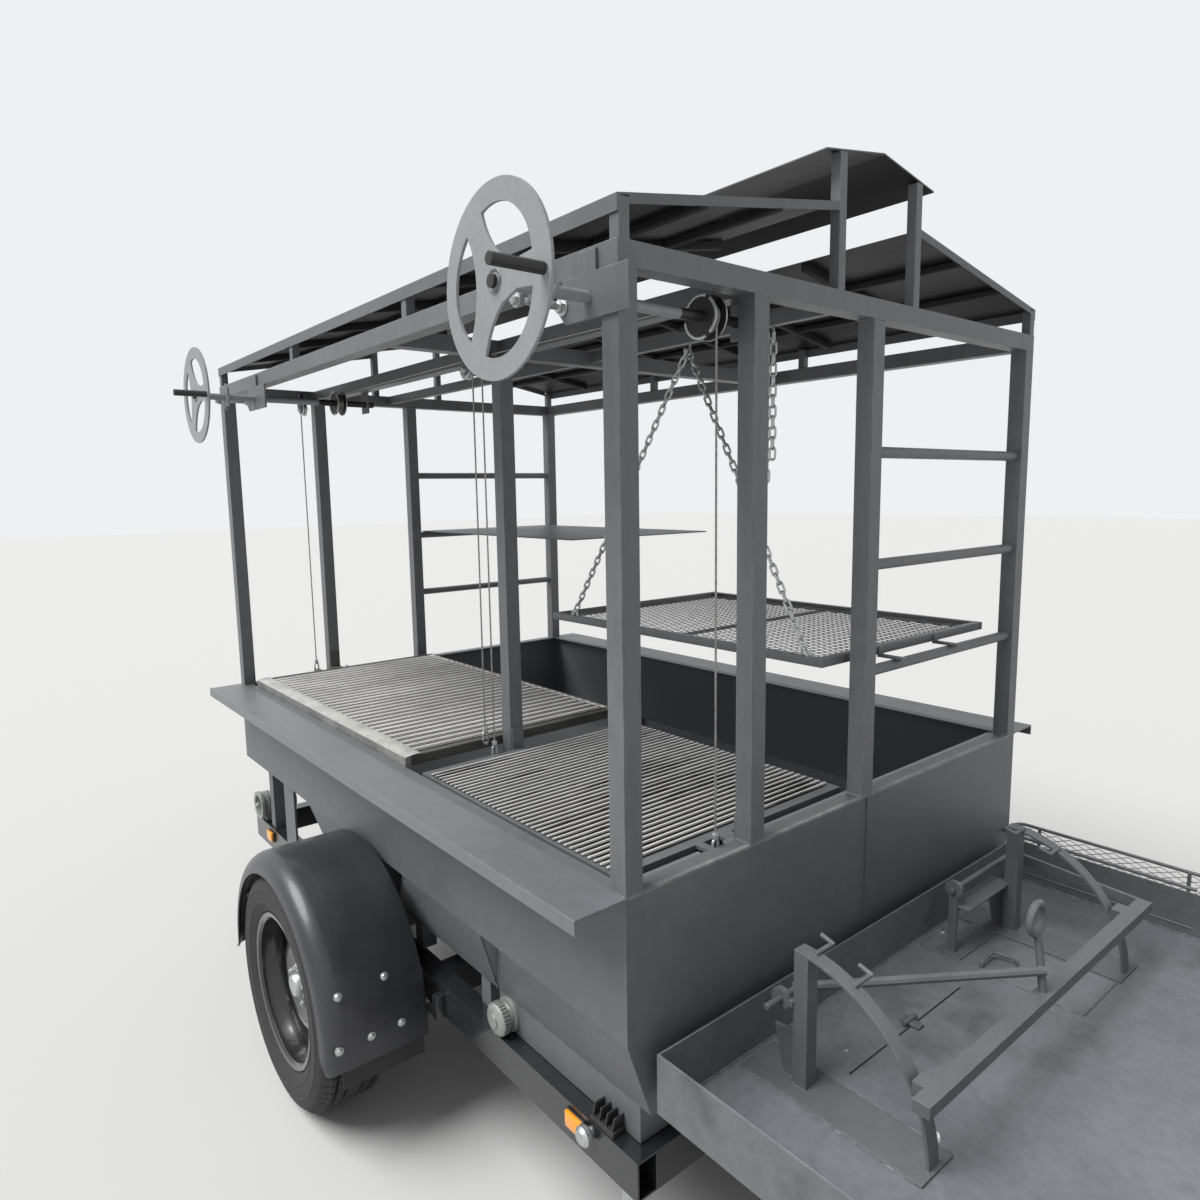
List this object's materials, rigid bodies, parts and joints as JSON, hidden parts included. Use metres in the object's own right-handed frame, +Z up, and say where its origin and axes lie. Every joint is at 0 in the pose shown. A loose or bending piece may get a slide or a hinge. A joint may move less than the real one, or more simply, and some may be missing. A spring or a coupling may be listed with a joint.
{
  "type": "barbecue grill trailer",
  "caption": "Single-axle trailer with an open steel fire box, hand-wound lifting grates, a roofed frame with shelves and a rear fire tray with a tilting spit frame.",
  "frame": {"origin": "on the ground under the middle of the trailer's overall length and width", "axes": "+X forward to the drawbar, +Y to the left side, +Z up"},
  "size_m": [4.305, 1.988, 2.277],
  "materials": {
    "charcoal_paint": "satin heat-resistant paint",
    "chassis_paint": "gloss black paint",
    "grate_steel": "bare steel, heat tinted",
    "tyre_rubber": "matt rubber",
    "rim_paint": "gloss black",
    "guard_plastic": "satin moulded plastic",
    "amber_lens": "moulded lamp lens",
    "zinc": "galvanised"
  },
  "bodies": {
    "root": {"fire_box": "charcoal_paint", "ledge_left": "charcoal_paint", "ledge_right": "charcoal_paint", "posts_rear": "charcoal_paint", "posts_front": "charcoal_paint", "guide_post": "charcoal_paint", "top_frame": "charcoal_paint", "roof_left": "charcoal_paint", "roof_right": "charcoal_paint", "ridge_cap": "charcoal_paint", "ridge_studs": "charcoal_paint", "eave_studs": "charcoal_paint", "shelf_bars_rear": "charcoal_paint", "shelf_bars_front": "charcoal_paint", "plate_shelf": "charcoal_paint", "mesh_shelf": "charcoal_paint", "shelf_chains": "zinc", "winch_plates_rear": "charcoal_paint", "winch_plates_front": "charcoal_paint", "chassis_frame": "chassis_paint", "box_mounts": "charcoal_paint", "ash_box_rear": "charcoal_paint", "ash_box_front": "charcoal_paint", "drawbar": "chassis_paint", "coupling_head": "zinc", "jockey_clamp": "zinc", "axle_beam": "zinc", "swing_arm_left": "zinc", "swing_arm_right": "zinc", "mudguard_left": "guard_plastic", "mudguard_right": "guard_plastic", "guard_bracket_left": "chassis_paint", "guard_bracket_right": "chassis_paint", "fire_tray": "charcoal_paint", "tray_carrier": "chassis_paint", "arc_stand_left": "charcoal_paint", "arc_stand_right": "charcoal_paint", "cable_pulleys": "charcoal_paint", "drain_cap": "zinc", "air_inlet": "zinc", "tail_lamps": "chassis_paint", "side_markers": "amber_lens"},
    "wheel_left": {"tyre_left": "tyre_rubber", "wheel_rim_left": "rim_paint"},
    "wheel_right": {"tyre_right": "tyre_rubber", "wheel_rim_right": "rim_paint"},
    "jockey_leg": {"jockey_tube": "zinc"},
    "jockey_castor": {"jockey_fork": "zinc"},
    "jockey_roller": {"jockey_wheel": "tyre_rubber"},
    "rear_lift": {"rear_grate": "grate_steel"},
    "front_lift": {"front_grate": "grate_steel", "grease_gutter": "grate_steel"},
    "rear_winch": {"handwheel_rear": "charcoal_paint"},
    "front_winch": {"handwheel_front": "charcoal_paint"},
    "tilting_frame": {"spit_frame": "charcoal_paint"},
    "left_steady": {"steady_left": "zinc"},
    "right_steady": {"steady_right": "zinc"}
  },
  "joints": [
    {"name": "wheel_left_spin", "type": "hinge", "parent": "root", "child": "wheel_left", "pos_m": [-0.2205, 0.8975, 0.3105], "axis": [0, 1, 0], "continuous": true},
    {"name": "wheel_right_spin", "type": "hinge", "parent": "root", "child": "wheel_right", "pos_m": [-0.2205, -0.8975, 0.3105], "axis": [0, 1, 0], "continuous": true},
    {"name": "jockey_lift", "type": "slide", "parent": "root", "child": "jockey_leg", "axis": [0, 0, 1], "range_m": [0, 0.1]},
    {"name": "jockey_swivel", "type": "hinge", "parent": "jockey_leg", "child": "jockey_castor", "pos_m": [1.7495, 0, 0.2], "axis": [0, 0, 1], "continuous": true},
    {"name": "jockey_spin", "type": "hinge", "parent": "jockey_castor", "child": "jockey_roller", "pos_m": [1.7145, 0, 0.1], "axis": [0, 1, 0], "continuous": true},
    {"name": "rear_grate_lift", "type": "slide", "parent": "root", "child": "rear_lift", "axis": [0, 0, 1], "range_m": [0, 0.28]},
    {"name": "front_grate_lift", "type": "slide", "parent": "root", "child": "front_lift", "axis": [0, 0, 1], "range_m": [0, 0.25]},
    {"name": "rear_handwheel_turn", "type": "hinge", "parent": "root", "child": "rear_winch", "pos_m": [-1.2505, 0.725, 1.912], "axis": [0, 1, 0], "range_deg": [0, 644.7]},
    {"name": "front_handwheel_turn", "type": "hinge", "parent": "root", "child": "front_winch", "pos_m": [0.4595, 0.725, 1.912], "axis": [0, 1, 0], "range_deg": [0, 576]},
    {"name": "spit_frame_tilt", "type": "hinge", "parent": "root", "child": "tilting_frame", "pos_m": [-1.4385, 0.045, 0.67], "axis": [0, 1, 0], "range_deg": [0, 50]},
    {"name": "left_steady_fold", "type": "hinge", "parent": "root", "child": "left_steady", "pos_m": [-1.2305, 0.629, 0.347], "axis": [0, -1, 0], "range_deg": [0, 90]},
    {"name": "right_steady_fold", "type": "hinge", "parent": "root", "child": "right_steady", "pos_m": [-1.2305, -0.629, 0.347], "axis": [0, -1, 0], "range_deg": [0, 90]}
  ],
  "couplings": [
    {"joint": "rear_handwheel_turn", "follows": "rear_grate_lift", "rad_per_m": 40},
    {"joint": "front_handwheel_turn", "follows": "front_grate_lift", "rad_per_m": 40}
  ]
}
